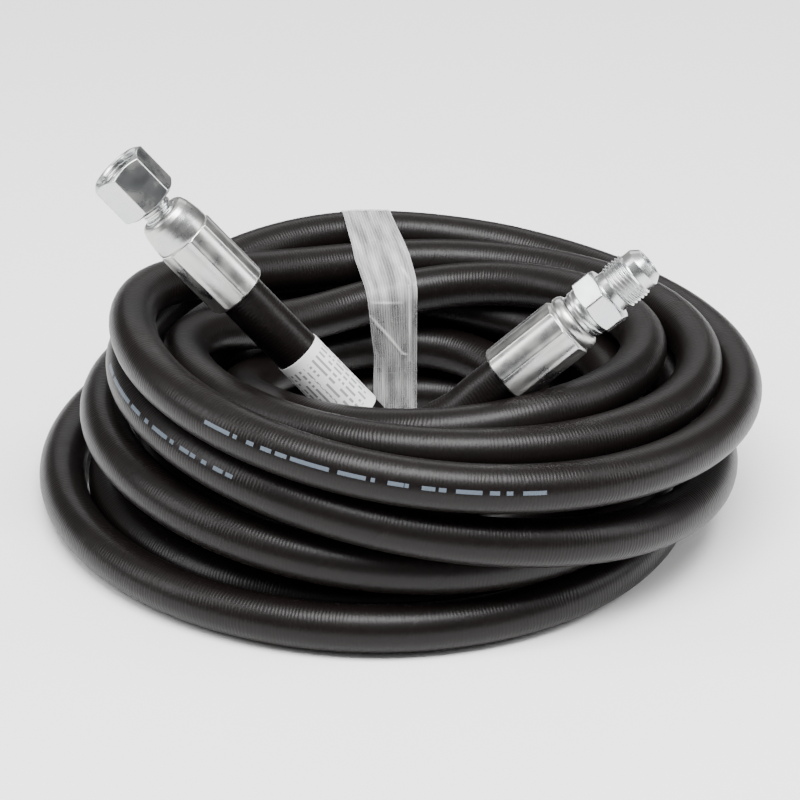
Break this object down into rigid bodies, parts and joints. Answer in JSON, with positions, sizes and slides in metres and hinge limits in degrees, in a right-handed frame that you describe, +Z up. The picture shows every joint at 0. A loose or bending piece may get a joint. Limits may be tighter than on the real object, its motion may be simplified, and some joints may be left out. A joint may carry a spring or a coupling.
{
  "type": "hydraulic hose assembly, coiled",
  "caption": "Coiled black rubber hydraulic hose with crimped fittings: a female swivel nut on one end and a male flared thread on the other.",
  "frame": {"origin": "centre of the footprint on the floor", "axes": "+Z up as the coil lies on the floor; -Y towards the side from which both fittings point up and outwards"},
  "size_m": [0.2952, 0.2911, 0.168],
  "materials": {
    "hose_rubber": "satin, fine transverse wrap ribs",
    "zinc_plated_steel": "bright zinc plate",
    "label_film": "white printed label",
    "clear_tape": "clear ribbed strapping tape"
  },
  "bodies": {
    "hose": {"hose_coil": "hose_rubber", "hose_female_end": "hose_rubber", "hose_male_end": "hose_rubber", "female_ferrule": "zinc_plated_steel", "female_stem": "zinc_plated_steel", "male_ferrule": "zinc_plated_steel", "male_stem": "zinc_plated_steel", "wrap_label": "label_film", "strapping_tape": "clear_tape"},
    "nut": {"swivel_nut": "zinc_plated_steel"}
  },
  "joints": [
    {"name": "swivel_nut_spin", "type": "hinge", "parent": "hose", "child": "nut", "pos_m": [-0.10242, -0.0405, 0.15374], "axis": [-0.662, 0.025, 0.749], "continuous": true}
  ]
}
